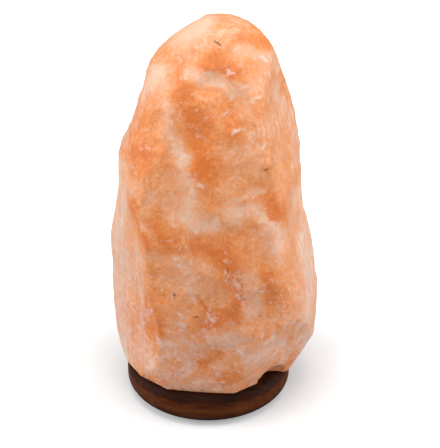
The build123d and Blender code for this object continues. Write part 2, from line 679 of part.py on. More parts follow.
def make_bulb_stem():
    """The glass mount: a flare sealed into the neck, and a tube pinched shut round the wires."""
    stem, neck = STEM_DIAMETER / 2, BULB_NECK_DIAMETER / 2 - GLASS_WALL
    flare_top = STEM_BOTTOM + STEM_FLARE_HEIGHT
    return turned([
        (neck - STEM_WALL, STEM_BOTTOM),
        (neck, STEM_BOTTOM),
        (neck, STEM_BOTTOM + STEM_WALL),
        (stem, flare_top),
        (stem, STEM_TOP),
        (0, STEM_TOP),
        (0, STEM_TOP - 2 * STEM_DIAMETER),
        (stem - STEM_WALL, STEM_TOP - 2 * STEM_DIAMETER),
        (stem - STEM_WALL, flare_top),
    ])


def make_lead_wires():
    """The two wires that rise from the stem and splay out to the filament's ends."""
    wires = []
    for side in (-1, 1):
        start = side * STEM_DIAMETER / 4
        route = FilletPolyline(
            (start, 0, STEM_TOP),
            (start, 0, STEM_TOP + WIRE_STRAIGHT_LENGTH),
            (side * FILAMENT_HALF_SPAN, 0, FILAMENT_END_HEIGHT),
            radius=WIRE_STRAIGHT_LENGTH,
        )
        wires.append(tube_along(route, LEAD_WIRE_DIAMETER))
    return Compound(wires)


def make_filament():
    """The tungsten filament, drawn as the bowed rod that its fine coil fills."""
    bow = ThreePointArc(
        (-FILAMENT_HALF_SPAN, 0, FILAMENT_END_HEIGHT),
        (0, 0, FILAMENT_END_HEIGHT + FILAMENT_RISE),
        (FILAMENT_HALF_SPAN, 0, FILAMENT_END_HEIGHT),
    )
    return tube_along(bow, FILAMENT_DIAMETER)


def main():
    os.makedirs("parts", exist_ok=True)
    pieces = {
        "salt_crystal": make_crystal(),
        "wooden_base": make_base(),
        "base_screws": copies(make_screw(), SCREW_COUNT, SCREW_FIRST_ANGLE, SCREW_CIRCLE),
        "screw_plugs": copies(make_plug(), SCREW_COUNT, SCREW_FIRST_ANGLE, SCREW_CIRCLE),
        "rubber_feet": copies(make_foot(), FOOT_COUNT, FOOT_FIRST_ANGLE, FOOT_CIRCLE),
        "holder_cap": make_holder_cap(),
        "holder_skirt": make_holder_skirt(),
        "contact_block": make_contact_block(),
        "screw_sleeve": make_screw_sleeve(),
        "centre_contact": make_centre_contact(),
        "side_contact": make_side_contact(),
        "terminal_posts": make_terminal_posts(),
        "terminal_screws": make_terminal_screws(),
        "lock_nut": make_lock_nut(),
        "clip_bracket": make_clip_bracket(),
        "clip_wing_left": make_clip_wing(-1),
        "clip_wing_right": make_clip_wing(1),
        "bulb_glass": make_bulb_glass(),
        "bulb_cap": make_bulb_cap(),
        "cap_insulator": make_cap_insulator(),
        "bulb_contact": make_bulb_contact(),
        "bulb_stem": make_bulb_stem(),
        "lead_wires": make_lead_wires(),
        "filament": make_filament(),
    }
    box = Compound([pieces["salt_crystal"], pieces["wooden_base"]]).bounding_box()
    to_origin = Pos(-box.center().X, -box.center().Y, 0)
    for name, piece in pieces.items():
        export_step(to_origin * piece, f"parts/{name}.step")
    print("base axis at", -box.center().X, -box.center().Y, "height", box.max.Z)


main()
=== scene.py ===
import json
import math

import bpy
import numpy as np
from mathutils import Euler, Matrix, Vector, noise

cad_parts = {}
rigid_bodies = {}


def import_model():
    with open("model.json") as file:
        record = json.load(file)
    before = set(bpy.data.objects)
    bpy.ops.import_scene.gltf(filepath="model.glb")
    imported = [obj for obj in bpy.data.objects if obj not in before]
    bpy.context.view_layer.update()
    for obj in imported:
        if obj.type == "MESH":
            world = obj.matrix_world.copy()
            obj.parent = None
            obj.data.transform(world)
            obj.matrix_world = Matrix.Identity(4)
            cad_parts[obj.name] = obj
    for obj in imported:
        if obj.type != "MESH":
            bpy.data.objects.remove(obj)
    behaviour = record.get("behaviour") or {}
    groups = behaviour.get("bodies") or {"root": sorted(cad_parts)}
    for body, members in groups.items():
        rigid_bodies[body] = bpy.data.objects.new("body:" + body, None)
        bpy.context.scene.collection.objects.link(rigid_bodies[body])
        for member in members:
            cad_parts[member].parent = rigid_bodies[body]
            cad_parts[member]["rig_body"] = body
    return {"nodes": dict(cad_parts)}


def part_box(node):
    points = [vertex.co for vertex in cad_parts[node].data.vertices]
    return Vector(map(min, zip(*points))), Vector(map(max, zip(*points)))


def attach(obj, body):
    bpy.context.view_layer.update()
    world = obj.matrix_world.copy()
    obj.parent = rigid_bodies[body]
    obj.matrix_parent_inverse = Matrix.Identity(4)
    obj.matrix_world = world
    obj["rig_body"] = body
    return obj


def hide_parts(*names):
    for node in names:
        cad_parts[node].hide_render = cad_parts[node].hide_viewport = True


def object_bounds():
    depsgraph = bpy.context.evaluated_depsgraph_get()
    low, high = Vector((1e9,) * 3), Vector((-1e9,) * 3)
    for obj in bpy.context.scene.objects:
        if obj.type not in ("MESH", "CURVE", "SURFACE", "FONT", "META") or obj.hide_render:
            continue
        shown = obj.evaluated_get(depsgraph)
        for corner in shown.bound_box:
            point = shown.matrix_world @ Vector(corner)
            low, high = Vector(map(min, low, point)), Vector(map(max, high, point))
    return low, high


# Salt crystal lamp: a split lump of rock salt on a turned, dark-stained wooden base. Under it stand
# the lamp holder and its small clear bulb, which show when the crystal is lifted off.
# Sizes are in millimetres here and turned to metres where they are used. Places are given from the
# wooden base's own axis, and heights from the table.

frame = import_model()
cad_low, cad_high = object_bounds()

MM = 0.001
base_low, base_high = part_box("wooden_base")
AXIS = Vector(((base_low.x + base_high.x) / 2, (base_low.y + base_high.y) / 2, 0))
BASE_TOP = base_high.z

# ---- The photograph's camera ----
PICTURE_WIDTH = 440
PICTURE_HEIGHT = 448
SENSOR = 36.0
LENS = 97.07
CAMERA_RIGHT = 7.84
CAMERA_BACK = 675.6
CAMERA_HEIGHT = 497.55
CAMERA_DOWN = 29.14  # degrees below level
CAMERA_PLACE = AXIS + Vector((CAMERA_RIGHT, -CAMERA_BACK, CAMERA_HEIGHT)) * MM
FOCAL_PIXELS = LENS / SENSOR * PICTURE_HEIGHT


# ---------------------------------------------------------------- small helpers
def deselect_all():
    """Nothing is selected and nothing is active."""
    for each in bpy.context.view_layer.objects:
        each.select_set(False)
    bpy.context.view_layer.objects.active = None


def select_only(piece):
    deselect_all()
    piece.select_set(True)
    bpy.context.view_layer.objects.active = piece


def apply_modifier(piece, kind, **settings):
    """Adds one modifier, sets it and applies it."""
    select_only(piece)
    modifier = piece.modifiers.new(kind.title(), kind)
    for name, value in settings.items():
        setattr(modifier, name, value)
    bpy.ops.object.modifier_apply(modifier=modifier.name)


def merged_copy(node, name):
    """A copy of a CAD node with its loose triangles joined."""
    mesh = frame["nodes"][node].data.copy()
    mesh.materials.clear()
    piece = bpy.data.objects.new(name, mesh)
    bpy.context.scene.collection.objects.link(piece)
    select_only(piece)
    bpy.ops.object.mode_set(mode="EDIT")
    bpy.ops.mesh.select_all(action="SELECT")
    bpy.ops.mesh.remove_doubles(threshold=0.002 * MM)
    bpy.ops.mesh.customdata_custom_splitnormals_clear()
    bpy.ops.object.mode_set(mode="OBJECT")
    return piece


def smooth_by_angle(piece, degrees=32):
    """Smooth shading, with edges sharper than this angle kept crisp."""
    select_only(piece)
    bpy.ops.object.shade_smooth_by_angle(angle=math.radians(degrees))


def hand_over(piece, body, slot, material, *nodes):
    """A finished piece gets its material, rides on its body and stands for its CAD nodes."""
    piece.data.materials.clear()
    piece.data.materials.append(material)
    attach(piece, body)
    if nodes:
        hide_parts(*nodes)


def dressed_copy(node, slot, material):
    """The CAD node's own shape, joined, smoothed and given its finish."""
    piece = merged_copy(node, node + "_piece")
    smooth_by_angle(piece)
    hand_over(piece, frame["nodes"][node]["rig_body"], slot, material, node)


# ---------------------------------------------------------------- materials
# Heights over the table, in millimetres: the salt counts as upper above the first and as lower below
# the second, and the wood is widest round the third.
UPPER_SALT = 150
LOWER_SALT = 70
WIDEST_WOOD = 12.5
# The painted sheen lightens the stain fully up to this far above and below the widest part, and is gone
# from there, where painted shade darkens it a little.
SHEEN_FULL_REACH = 1.5
SHEEN_GONE_REACH = 8.0


def linear(hex_colour):
    """An sRGB hex colour as linear light, with full alpha."""
    parts = [int(hex_colour[i : i + 2], 16) / 255 for i in (1, 3, 5)]
    return tuple(c / 12.92 if c <= 0.04045 else ((c + 0.055) / 1.055) ** 2.4 for c in parts) + (1.0,)


def per_metre(millimetres):
    """A texture's scale for features of this size, on Object coordinates in metres."""
    return 1.0 / (millimetres * MM)


def add_node(tree, kind, inputs=None, stops=None, **settings):
    """Adds a node, sets its properties, and sets or links each of its inputs."""
    made = tree.nodes.new(kind)
    for name, value in settings.items():
        setattr(made, name, value)
    for socket, value in (inputs or {}).items():
        if isinstance(value, bpy.types.NodeSocket):
            tree.links.new(value, made.inputs[socket])
        else:
            made.inputs[socket].default_value = value
    if stops:
        elements = made.color_ramp.elements
        while len(elements) < len(stops):
            elements.new(1.0)
        for element, (position, colour) in zip(elements, stops):
            element.position = position
            element.color = linear(colour)
    return made


def new_material(name):
    """A material with only its output, and its node tree."""
    material = bpy.data.materials.new(name)
    material.use_nodes = True
    tree = material.node_tree
    tree.nodes.clear()
    return material, tree


def finish_material(tree, shader):
    add_node(tree, "ShaderNodeOutputMaterial", {"Surface": shader.outputs[0]})


def split_rock_salt():
    """Rock salt, split and left rough. Light goes a little way in, so it looks milky, and iron oxide
    clouds it orange between paler veils."""
    material, tree = new_material("split_rock_salt")
    place = add_node(tree, "ShaderNodeTexCoord").outputs["Object"]
    iron = add_node(tree, "ShaderNodeAttribute", attribute_name="iron").outputs["Fac"]
    # This attribute holds the pale veils, and with them painted highlights on the cap and left shoulder and
    # painted reflection down the sides.
    veil_and_highlight = add_node(tree, "ShaderNodeAttribute", attribute_name="veil_and_highlight").outputs["Fac"]
    dirt = add_node(tree, "ShaderNodeAttribute", attribute_name="dirt").outputs["Fac"]

    # The clouds' edges are ragged over 9 mm and mottled over 4.5 mm. The salt's grains are 2 to 3 mm,
    # and each has a tone of its own.
    ragged = add_node(
        tree,
        "ShaderNodeTexNoise",
        {"Vector": place, "Scale": per_metre(9), "Detail": 5.0, "Roughness": 0.62, "Distortion": 0.5},
    )
    grain = add_node(
        tree,
        "ShaderNodeTexNoise",
        {"Vector": place, "Scale": per_metre(2.2), "Detail": 4.0, "Roughness": 0.7, "Distortion": 0.3},
    )
    crystals = add_node(tree, "ShaderNodeTexVoronoi", {"Vector": place, "Scale": per_metre(2.8)})
    crystal_tone = add_node(tree, "ShaderNodeSeparateColor", {"Color": crystals.outputs["Color"]})
    mottle = add_node(
        tree,
        "ShaderNodeTexNoise",
        {"Vector": place, "Scale": per_metre(4.5), "Detail": 6.0, "Roughness": 0.72, "Distortion": 0.9},
    )
    edge = add_node(
        tree,
        "ShaderNodeMath",
        {0: ragged.outputs["Fac"], 1: 0.60, 2: -0.30},
        operation="MULTIPLY_ADD",
    )
    cloud = add_node(
        tree,
        "ShaderNodeMath",
        {0: mottle.outputs["Fac"], 1: 1.30, 2: edge.outputs[0]},
        operation="MULTIPLY_ADD",
    )
    speckle = add_node(
        tree,
        "ShaderNodeMath",
        {0: grain.outputs["Fac"], 1: 0.80, 2: cloud.outputs[0]},
        operation="MULTIPLY_ADD",
    )
    wobble = add_node(
        tree,
        "ShaderNodeMath",
        {0: crystal_tone.outputs[0], 1: 0.12, 2: speckle.outputs[0]},
        operation="MULTIPLY_ADD",
    )
    centred = add_node(tree, "ShaderNodeMath", {0: wobble.outputs[0], 1: -1.11}, operation="ADD")

    # Redder and paler flecks of about 1.5 mm lie in the salt, plainer low down than at the top. The
    # veils are cream in the upper salt and pinker in the lower.
    height = add_node(tree, "ShaderNodeSeparateXYZ", {"Vector": place})
    lowness = add_node(
        tree,
        "ShaderNodeMapRange",
        {
            "Value": height.outputs["Z"],
            "From Min": UPPER_SALT * MM,
            "From Max": LOWER_SALT * MM,
            "To Min": 0.0,
            "To Max": 1.0,
        },
        interpolation_type="SMOOTHSTEP",
    )
    fleck_reach = add_node(
        tree, "ShaderNodeMath", {0: lowness.outputs[0], 1: 0.24, 2: 0.13}, operation="MULTIPLY_ADD"
    )
    flecks = add_node(
        tree,
        "ShaderNodeTexNoise",
        {"Vector": place, "Scale": per_metre(3.2), "Detail": 3.0, "Roughness": 0.65, "Distortion": 0.6},
    )
    red_fleck = add_node(
        tree,
        "ShaderNodeMapRange",
        {
            "Value": flecks.outputs["Fac"],
            "From Min": 0.55,
            "From Max": 0.66,
            "To Min": 0.0,
            "To Max": fleck_reach.outputs[0],
        },
        interpolation_type="SMOOTHSTEP",
    )
    pale_fleck = add_node(
        tree,
        "ShaderNodeMapRange",
        {
            "Value": flecks.outputs["Fac"],
            "From Min": 0.45,
            "From Max": 0.34,
            "To Min": 0.0,
            "To Max": fleck_reach.outputs[0],
        },
        interpolation_type="SMOOTHSTEP",
    )
    reddened = add_node(tree, "ShaderNodeMath", {0: iron, 1: red_fleck.outputs[0]}, operation="ADD")
    veiled = add_node(tree, "ShaderNodeMath", {0: veil_and_highlight, 1: pale_fleck.outputs[0]}, operation="ADD")
    iron_here = add_node(
        tree, "ShaderNodeMath", {0: reddened.outputs[0], 1: centred.outputs[0]}, operation="ADD"
    )
    body = add_node(
        tree,
        "ShaderNodeValToRGB",
        {"Fac": iron_here.outputs[0]},
        stops=[(0.0, "#FCD0B4"), (0.3, "#FBB386"), (0.62, "#F79954"), (1.0, "#E87A2A")],
    )
    veil_here = add_node(
        tree,
        "ShaderNodeMath",
        {0: centred.outputs[0], 1: 1.7, 2: veiled.outputs[0]},
        operation="MULTIPLY_ADD",
    )
    veil_share = add_node(
        tree,
        "ShaderNodeMapRange",
        {"Value": veil_here.outputs[0], "From Min": 0.22, "From Max": 0.80, "To Min": 0.0, "To Max": 0.66},
        interpolation_type="SMOOTHSTEP",
    )
    veil_colour = add_node(
        tree,
        "ShaderNodeMix",
        {"Factor": lowness.outputs[0], 6: linear("#FCC9AA"), 7: linear("#F7C8B8")},
        data_type="RGBA",
    )
    clouded = add_node(
        tree,
        "ShaderNodeMix",
        {"Factor": veil_share.outputs[0], 6: body.outputs["Color"], 7: veil_colour.outputs[2]},
        data_type="RGBA",
    )
    crack_here = add_node(
        tree,
        "ShaderNodeMath",
        {0: ragged.outputs["Fac"], 1: 1.3, 2: veil_here.outputs[0]},
        operation="MULTIPLY_ADD",
    )
    crack_share = add_node(
        tree,
        "ShaderNodeMapRange",
        {"Value": crack_here.outputs[0], "From Min": 1.35, "From Max": 1.6, "To Min": 0.0, "To Max": 0.5},
        interpolation_type="SMOOTHSTEP",
    )
    cracked = add_node(
        tree,
        "ShaderNodeMix",
        {"Factor": crack_share.outputs[0], 6: clouded.outputs[2], 7: linear("#FBD4BA")},
        data_type="RGBA",
    )
    # Cleavage cracks, under 1 mm wide, run between blocks of about 15 mm, and open only in places.
    bent = add_node(
        tree,
        "ShaderNodeMix",
        {"Factor": 0.008, 4: place, 5: ragged.outputs["Color"]},
        data_type="VECTOR",
    )
    blocks = add_node(
        tree,
        "ShaderNodeTexVoronoi",
        {"Vector": bent.outputs[1], "Scale": per_metre(15)},
        feature="DISTANCE_TO_EDGE",
    )
    line = add_node(
        tree,
        "ShaderNodeMapRange",
        {
            "Value": blocks.outputs["Distance"],
            "From Min": 0.012,
            "From Max": 0.045,
            "To Min": 1.0,
            "To Max": 0.0,
        },
    )
    opened = add_node(
        tree,
        "ShaderNodeMapRange",
        {"Value": ragged.outputs["Fac"], "From Min": 0.54, "From Max": 0.66, "To Min": 0.0, "To Max": 0.3},
    )
    line_share = add_node(
        tree, "ShaderNodeMath", {0: line.outputs[0], 1: opened.outputs[0]}, operation="MULTIPLY"
    )
    lined = add_node(
        tree,
        "ShaderNodeMix",
        {"Factor": line_share.outputs[0], 6: cracked.outputs[2], 7: linear("#FCE7DA")},
        data_type="RGBA",
    )
    # Painted sparkle: small white highlights about 1 mm across, in small clusters, painted into the colour
    # where split faces of single crystals would catch the light. The painted glints are laid on with the
    # same white.
    sparkle = add_node(
        tree,
        "ShaderNodeTexNoise",
        {"Vector": place, "Scale": per_metre(1.5), "Detail": 2.0, "Roughness": 0.5},
    )
    cluster = add_node(
        tree,
        "ShaderNodeTexNoise",
        {"Vector": place, "Scale": per_metre(14), "Detail": 2.0, "Roughness": 0.6},
    )
    painted_sparkle_here = add_node(
        tree,
        "ShaderNodeMath",
        {0: cluster.outputs["Fac"], 1: 0.45, 2: sparkle.outputs["Fac"]},
        operation="MULTIPLY_ADD",
    )
    painted_sparkle_share = add_node(
        tree,
        "ShaderNodeMapRange",
        {
            "Value": painted_sparkle_here.outputs[0],
            "From Min": 0.95,
            "From Max": 1.03,
            "To Min": 0.0,
            "To Max": 0.6,
        },
    )
    # The painted glints: white highlights laid on by the brush.
    painted_glint = add_node(tree, "ShaderNodeAttribute", attribute_name="painted_glint").outputs["Fac"]
    painted_highlight_share = add_node(
        tree,
        "ShaderNodeMath",
        {0: painted_sparkle_share.outputs[0], 1: painted_glint},
        operation="MAXIMUM",
    )
    highlighted = add_node(
        tree,
        "ShaderNodeMix",
        {"Factor": painted_highlight_share.outputs[0], 6: lined.outputs[2], 7: linear("#FFF1E6")},
        data_type="RGBA",
    )
    # The sides are ribbed upright, 3 mm apart, with white along each rib: partly bruised white salt, partly
    # painted reflection on the faces that turn to the left and right.
    side = add_node(tree, "ShaderNodeAttribute", attribute_name="side").outputs["Fac"]
    upright = add_node(tree, "ShaderNodeMapping", {"Vector": place, "Scale": (1.0, 1.0, 0.12)})
    ribs = add_node(
        tree,
        "ShaderNodeTexNoise",
        {"Vector": upright.outputs[0], "Scale": per_metre(3.0), "Detail": 3.0, "Roughness": 0.6},
    )
    rib_white_and_reflection = add_node(
        tree,
        "ShaderNodeMapRange",
        {"Value": ribs.outputs["Fac"], "From Min": 0.38, "From Max": 0.62, "To Min": 0.15, "To Max": 0.85},
    )
    rib_and_reflection_share = add_node(tree, "ShaderNodeMath", {0: rib_white_and_reflection.outputs[0], 1: side}, operation="MULTIPLY")
    ribbed_and_reflecting = add_node(
        tree,
        "ShaderNodeMix",
        {"Factor": rib_and_reflection_share.outputs[0], 6: highlighted.outputs[2], 7: linear("#F8D9C6")},
        data_type="RGBA",
    )
    dirt_edge = add_node(tree, "ShaderNodeMath", {0: dirt, 1: centred.outputs[0]}, operation="ADD")
    dirt_share = add_node(
        tree,
        "ShaderNodeMapRange",
        {"Value": dirt_edge.outputs[0], "From Min": 0.40, "From Max": 0.75, "To Min": 0.0, "To Max": 0.85},
        interpolation_type="SMOOTHSTEP",
    )
    soiled = add_node(
        tree,
        "ShaderNodeMix",
        {"Factor": dirt_share.outputs[0], 6: ribbed_and_reflecting.outputs[2], 7: linear("#6E4022")},
        data_type="RGBA",
    )
    roughness = add_node(
        tree,
        "ShaderNodeMapRange",
        {"Value": grain.outputs["Fac"], "From Min": 0.3, "From Max": 0.7, "To Min": 0.34, "To Max": 0.62},
    )
    bump = add_node(
        tree,
        "ShaderNodeBump",
        {"Height": grain.outputs["Fac"], "Strength": 0.9, "Distance": 0.6 * MM},
    )
    shader = add_node(
        tree,
        "ShaderNodeBsdfPrincipled",
        {
            "Base Color": soiled.outputs[2],
            "Roughness": roughness.outputs[0],
            "IOR": 1.544,
            "Normal": bump.outputs[0],
            "Subsurface Weight": 0.18,
            "Subsurface Radius": (1.0, 0.45, 0.22),
            "Subsurface Scale": 2.0 * MM,
        },
    )
    finish_material(tree, shader)
    return material


def stained_turned_wood():
    """Hardwood, turned, stained dark brown and varnished satin. The grain shows faintly through the
    stain, in streaks about 20 mm long and 3 mm apart across the disc, and the sheen is low."""
    material, tree = new_material("stained_turned_wood")
    place = add_node(tree, "ShaderNodeTexCoord").outputs["Object"]
    stretch = add_node(tree, "ShaderNodeMapping", {"Vector": place, "Scale": (1.0, 6.0, 8.0)})
    # Painted sheen lightens the stain round the widest part, halfway up the rim, and painted shade darkens
    # it a little above and below.
    height = add_node(tree, "ShaderNodeSeparateXYZ", {"Vector": place})
    over_middle = add_node(
        tree, "ShaderNodeMath", {0: height.outputs["Z"], 1: WIDEST_WOOD * MM}, operation="SUBTRACT"
    )
    from_middle = add_node(tree, "ShaderNodeMath", {0: over_middle.outputs[0]}, operation="ABSOLUTE")
    painted_sheen_band = add_node(
        tree,
        "ShaderNodeMapRange",
        {
            "Value": from_middle.outputs[0],
            "From Min": SHEEN_FULL_REACH * MM,
            "From Max": SHEEN_GONE_REACH * MM,
            "To Min": 0.22,
            "To Max": -0.04,
        },
        interpolation_type="SMOOTHSTEP",
    )
    streaks = add_node(
        tree,
        "ShaderNodeTexNoise",
        {
            "Vector": stretch.outputs[0],
            "Scale": per_metre(22),
            "Detail": 6.0,
            "Roughness": 0.62,
            "Distortion": 0.25,
        },
    )
    tone = add_node(
        tree,
        "ShaderNodeMath",
        {0: streaks.outputs["Fac"], 1: 0.55, 2: painted_sheen_band.outputs[0]},
        operation="MULTIPLY_ADD",
    )
    colour = add_node(
        tree,
        "ShaderNodeValToRGB",
        {"Fac": tone.outputs[0]},
        stops=[(0.16, "#200B03"), (0.34, "#3E1A08"), (0.6, "#6E3818")],
    )
    shader = add_node(
        tree,
        "ShaderNodeBsdfPrincipled",
        {
            "Base Color": colour.outputs["Color"],
            "Roughness": 0.5,
            "IOR": 1.5,
            "Specular IOR Level": 0.08,
        },
    )
    finish_material(tree, shader)
    return material


def worked_surface(name, light, dark, mark, roughness, metallic=0.0, stretch=(1, 1, 1), depth=0.01, **more):
    """A surface whose marks are all of one size: in each, the tone, the sheen and the height change a
    little. mark is their size and depth their height, in millimetres; stretch draws them out."""
    material, tree = new_material(name)
    place = add_node(tree, "ShaderNodeTexCoord").outputs["Object"]
    drawn = add_node(tree, "ShaderNodeMapping", {"Vector": place, "Scale": stretch})
    marks = add_node(
        tree,
        "ShaderNodeTexNoise",
        {"Vector": drawn.outputs[0], "Scale": per_metre(mark), "Detail": 3.0, "Roughness": 0.6},
    )
    colour = add_node(
        tree,
        "ShaderNodeValToRGB",
        {"Fac": marks.outputs["Fac"]},
        stops=[(0.35, dark), (0.65, light)],
    )
    sheen = add_node(
        tree,
        "ShaderNodeMapRange",
        {
            "Value": marks.outputs["Fac"],
            "From Min": 0.35,
            "From Max": 0.65,
            "To Min": roughness[1],
            "To Max": roughness[0],
        },
    )
    bump = add_node(
        tree,
        "ShaderNodeBump",
        {"Height": marks.outputs["Fac"], "Strength": 1.0, "Distance": depth * MM},
    )
    inputs = {
        "Base Color": colour.outputs["Color"],
        "Roughness": sheen.outputs[0],
        "Metallic": metallic,
        "Normal": bump.outputs[0],
    }
    inputs.update({socket.replace("_", " "): value for socket, value in more.items()})
    finish_material(tree, add_node(tree, "ShaderNodeBsdfPrincipled", inputs))
    return material


# ---------------------------------------------------------------- the salt crystal
VOXEL = 1.25
BORE_RADIUS = 24.0
BORE_TOP = 127.0
# How far off the bore and the sawn foot the rough skin begins, and over how much it grows to full.
SKIN_MARGIN = 4.0
SKIN_GROWTH = 6
BORE_TOP_MARGIN = 12
BORE_TOP_GROWTH = 10
FOOT_MARGIN = 1.0
FOOT_GROWTH = 6
# How far sideways a face looks, from 0 to 1, where the upright ribs begin and where their white, partly
# painted reflection, begins.
RIBBED_FROM = 0.72
PALE_RIBS_AND_REFLECTION_FROM = 0.75
# The salt is milkier from here down: height over the base, and over how much it turns so.
MILKY_HEIGHT = 120
MILKY_GROWTH = 90
# Sizes of the salt's colour clouds.
SWELL_SIZE = 34
PATCH_SIZE = 13
BACK_VEIL_SIZE = 28

# Strokes of the brush that lays the colours on, as the camera sees them: points in the picture's
# pixels (across, down), half width in pixels, and strength.
IRON_STROKES = {
    "under_the_crown": ([(203, 66), (217, 63), (232, 70)], 9, 0.95),
    "crown_scallop": ([(238, 34), (252, 36), (263, 42)], 9, 0.75),
    "upper_middle": ([(190, 102), (196, 135), (200, 172)], 20, 0.85),
    "upper_right_of_middle": ([(228, 92), (232, 128)], 12, 0.7),
    "left_shoulder": ([(146, 112), (138, 140), (140, 160)], 14, 0.7),
    "right": ([(262, 188), (276, 212)], 13, 0.85),
    "spear": ([(132, 206), (145, 244)], 6, 0.9),
    "middle_left": ([(160, 226), (172, 248)], 11, 0.8),
    "middle": ([(200, 244), (222, 262), (238, 285)], 13, 0.95),
    "lower_middle": ([(242, 300), (228, 318), (206, 328)], 11, 1.15),
    "lower_right": ([(266, 272), (276, 300)], 11, 0.9),
    "lower_left": ([(150, 300), (156, 340)], 12, 0.85),
    "foot": ([(224, 380), (238, 376)], 8, 0.9),
    "red_seam": ([(227, 265), (236, 287), (240, 300), (248, 308)], 2.5, 1.6),
    "red_seam_low": ([(196, 300), (206, 318), (222, 322)], 3, 1.3),
    "low_band": ([(200, 362), (214, 352)], 7, 0.8),
    "foot_left": ([(138, 372), (160, 384)], 6, 0.6),
}
# Pale veils of the salt. Among them, cap_highlight and left_highlight are painted highlights, and
# left_strip and right_strip are painted reflection down the sides, all laid on with the same pale.
VEIL_AND_HIGHLIGHT_STROKES = {
    "cap_highlight": ([(180, 40), (200, 24)], 13, 0.75),
    "left_highlight": ([(152, 88), (160, 74)], 10, 0.8),
    "cap_right": ([(243, 52), (272, 60)], 11, 0.55),
    "ledge_rim": ([(188, 74), (203, 78), (217, 75), (226, 83), (234, 91)], 7, 0.8),
    "right_shoulder": ([(276, 90), (280, 108)], 8, 0.6),
    "long_vein": ([(176, 150), (183, 180), (191, 192), (186, 214)], 11, 0.75),
    "vein_foot": ([(188, 216), (205, 226), (218, 222)], 10, 0.8),
    "left_vein": ([(166, 108), (172, 146)], 8, 0.55),
    "right_vein": ([(227, 199), (249, 186), (262, 186)], 5, 0.6),
    "right_cloud": ([(232, 208), (252, 208), (262, 220)], 11, 0.75),
    "right_edge": ([(262, 218), (278, 232), (276, 252)], 8, 0.8),
    "ring_spot": ([(233, 258)], 5, 0.8),
    "pale_middle": ([(246, 280), (252, 312)], 12, 0.55),
    "lower_cloud": ([(212, 340), (236, 342)], 13, 0.7),
    "lower_right_cloud": ([(254, 356), (276, 346)], 14, 0.75),
    "left_of_middle": ([(176, 264), (190, 292)], 14, 0.5),
    "foot_cloud": ([(148, 366), (178, 384), (216, 386)], 14, 0.6),
    "foot_left_cloud": ([(164, 342), (196, 350)], 13, 0.6),
    "left_strip": ([(120, 200), (120, 280), (128, 350)], 12, 0.55),
    "right_strip": ([(304, 200), (311, 270), (308, 320)], 10, 0.5),
    "left_ridge": ([(134, 250), (142, 300), (146, 370)], 8, 0.6),
}
# Painted glints: short white highlights, 2 to 8 mm long, painted into the colour where faces of single
# crystals catch the light.
PAINTED_GLINT_STROKES = {
    "upper_middle": ([(235, 134), (240, 129), (247, 130)], 1.1, 0.8),
    "over_middle": ([(228, 114), (232, 109)], 1.0, 0.7),
    "left": ([(144, 146), (150, 149)], 1.0, 0.7),
    "right": ([(256, 146), (264, 147)], 1.0, 0.6),
    "right_high": ([(252, 98), (258, 96)], 0.9, 0.6),
    "crown": ([(233, 66), (240, 69)], 1.0, 0.7),
    "crown_right": ([(262, 54), (269, 56)], 1.0, 0.7),
    "middle": ([(226, 268), (230, 276)], 0.9, 0.6),
    "middle_left": ([(186, 250), (188, 256)], 0.8, 0.6),
    "low": ([(168, 344), (172, 350)], 0.9, 0.6),
    "low_right": ([(262, 344), (268, 340)], 1.0, 0.6),
    "low_middle": ([(240, 352), (243, 358)], 1.0, 0.6),
    "foot_right": ([(258, 362), (264, 358)], 1.0, 0.6),
}
# The ribbed white down both sides: partly white salt, partly painted reflection on the sides.
SIDE_WHITE_AND_REFLECTION_STROKES = {
    "left_shoulder": ([(146, 84), (134, 118), (122, 150)], 5, 0.7),
    "left": ([(119, 165), (116, 205), (117, 250), (119, 300), (124, 345), (133, 372)], 9, 1.0),
    "right_shoulder": ([(288, 100), (296, 130), (299, 165)], 5, 0.7),
    "right": ([(300, 195), (306, 230), (311, 270), (310, 310), (303, 345)], 8, 1.0),
}
# Specks of brown clay caught in the salt.
DIRT_STROKES = {
    "crown": ([(215, 40), (221, 44)], 2.2, 0.8),
    "crown_top": ([(236, 26)], 1.5, 0.8),
    "right_upper": ([(268, 160)], 1.3, 0.8),
    "right_lower": ([(262, 176), (266, 174)], 1.4, 0.8),
    "middle": ([(219, 239), (222, 242)], 1.5, 0.7),
    "middle_seam": ([(227, 264), (229, 269)], 1.6, 0.8),
    "lower_right": ([(240, 298), (243, 301)], 1.5, 0.8),
    "lower_left": ([(170, 290), (171, 300)], 1.3, 0.7),
    "lower_middle": ([(196, 317)], 1.6, 0.8),
    "foot_right": ([(257, 323)], 1.6, 0.8),
    "left_side": ([(119, 297)], 1.2, 0.7),
}
# Each brush has its strokes and the seed of its unsteady edge.
BRUSHES = {
    "iron": (IRON_STROKES, 5.0),
    "veil_and_highlight": (VEIL_AND_HIGHLIGHT_STROKES, 9.0),
    "dirt": (DIRT_STROKES, 2.0),
    "side": (SIDE_WHITE_AND_REFLECTION_STROKES, 12.0),
    "painted_glint": (PAINTED_GLINT_STROKES, 2.0),
}


def vertex_places(mesh):
    places = np.empty(len(mesh.vertices) * 3)
    mesh.vertices.foreach_get("co", places)
    return places.reshape(-1, 3)


def vertex_normals(mesh):
    normals = np.empty(len(mesh.vertices) * 3)
    mesh.vertex_normals.foreach_get("vector", normals)
    return normals.reshape(-1, 3)


def picture_places(places):
    """Where the camera sees each point: pixels across and down."""
    down = math.radians(CAMERA_DOWN)
    away = places - np.array(CAMERA_PLACE)
    depth = away[:, 1] * math.cos(down) - away[:, 2] * math.sin(down)
    rise = away[:, 1] * math.sin(down) + away[:, 2] * math.cos(down)
    across = PICTURE_WIDTH / 2 + FOCAL_PIXELS * away[:, 0] / depth
    below = PICTURE_HEIGHT / 2 - FOCAL_PIXELS * rise / depth
    return np.stack((across, below), axis=1)


